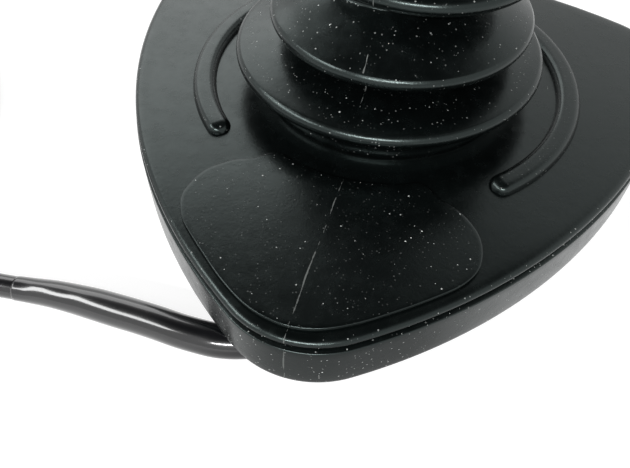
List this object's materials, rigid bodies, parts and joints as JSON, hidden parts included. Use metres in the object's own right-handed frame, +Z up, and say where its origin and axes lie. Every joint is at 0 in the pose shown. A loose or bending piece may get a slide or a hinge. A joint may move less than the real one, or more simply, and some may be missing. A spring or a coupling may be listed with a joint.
{
  "type": "industrial joystick",
  "caption": "Two-axis joystick with a grip, thumb button and trigger on a rubber-clad three-cornered base; folded bellows, gimbal, Hall sensor and a plugged cable.",
  "frame": {"origin": "on the stick's axis, in the plane the anti-slip pad stands on", "axes": "+Z up along the stick at rest, -Y towards the front corner of the base, +X to the right"},
  "size_m": [0.2553, 0.1299, 0.1408],
  "materials": {
    "rubber_black": "dull moulded rubber",
    "pad_rubber": "dull soft rubber",
    "black_plastic": "fine matt texture",
    "grip_black": "fine matt texture",
    "steel": "zinc plated",
    "spring_steel": "bright drawn wire",
    "plated_steel": "bright nickel plating",
    "zinc_casting": "blasted die casting",
    "aluminium": "fine turned and anodised",
    "brass": "turned",
    "board_green": "solder resist",
    "chip_black": "moulded epoxy",
    "white_plastic": "moulded nylon",
    "cable_pvc": "glossy flexible PVC",
    "plug_black": "moulded, satin",
    "button_red": "polished"
  },
  "bodies": {
    "base": {"rubber_cover": "rubber_black", "bellows": "rubber_black", "chassis": "black_plastic", "bottom_cover": "black_plastic", "cover_screws": "steel", "rubber_pad": "pad_rubber", "mount_inserts": "brass", "bellows_clamp_ring": "steel", "clamp_ring_screws": "steel", "gimbal_housing": "zinc_casting", "housing_screws": "steel", "housing_bushes": "brass", "gate_plate": "steel", "gate_screws": "steel", "centring_spring": "spring_steel", "circuit_board": "board_green", "board_screws": "steel", "hall_sensor": "chip_black", "board_connector": "white_plastic", "internal_lead": "cable_pvc", "strain_relief": "cable_pvc", "cable": "cable_pvc", "cable_coil": "cable_pvc", "cable_tail": "cable_pvc", "usb_plug": "plug_black", "usb_shell": "plated_steel"},
    "gimbal": {"gimbal_ring": "zinc_casting", "ring_pivot_pins": "steel", "ring_bushes": "brass"},
    "stick": {"stick_hub": "zinc_casting", "hub_pivot_pins": "steel", "stick_shaft": "steel", "magnet_holder": "black_plastic", "magnet": "plated_steel", "spring_collar": "aluminium", "neck_sleeve": "black_plastic", "neck_clip": "spring_steel", "grip_core": "aluminium", "grip_nut": "steel", "grip_left": "grip_black", "grip_right": "grip_black", "grip_screws": "steel", "button_bezel": "aluminium", "button_switch": "chip_black", "trigger_switch": "chip_black", "trigger_pin": "steel", "button_spring": "spring_steel", "trigger_spring": "spring_steel"},
    "button": {"push_button": "button_red"},
    "trigger": {"trigger": "black_plastic"}
  },
  "joints": [
    {"name": "tilt_forward_back", "type": "hinge", "parent": "base", "child": "gimbal", "pos_m": [0, 0, 0.027], "axis": [1, 0, 0], "range_deg": [-20, 20], "stiffness_Nm_per_rad": 1.4, "deforming": ["bellows", "centring_spring"]},
    {"name": "tilt_left_right", "type": "hinge", "parent": "gimbal", "child": "stick", "pos_m": [0, 0, 0.027], "axis": [0, 1, 0], "range_deg": [-20, 20], "stiffness_Nm_per_rad": 1.4, "deforming": ["bellows", "centring_spring"]},
    {"name": "button_press", "type": "slide", "parent": "stick", "child": "button", "axis": [0, 0, 1], "range_m": [-0.002, 0], "stiffness_N_per_m": 600, "deforming": ["button_spring"]},
    {"name": "trigger_pull", "type": "hinge", "parent": "stick", "child": "trigger", "pos_m": [0, -0.011, 0.1226], "axis": [1, 0, 0], "range_deg": [0, 8], "stiffness_Nm_per_rad": 1.2, "deforming": ["trigger_spring"]}
  ]
}
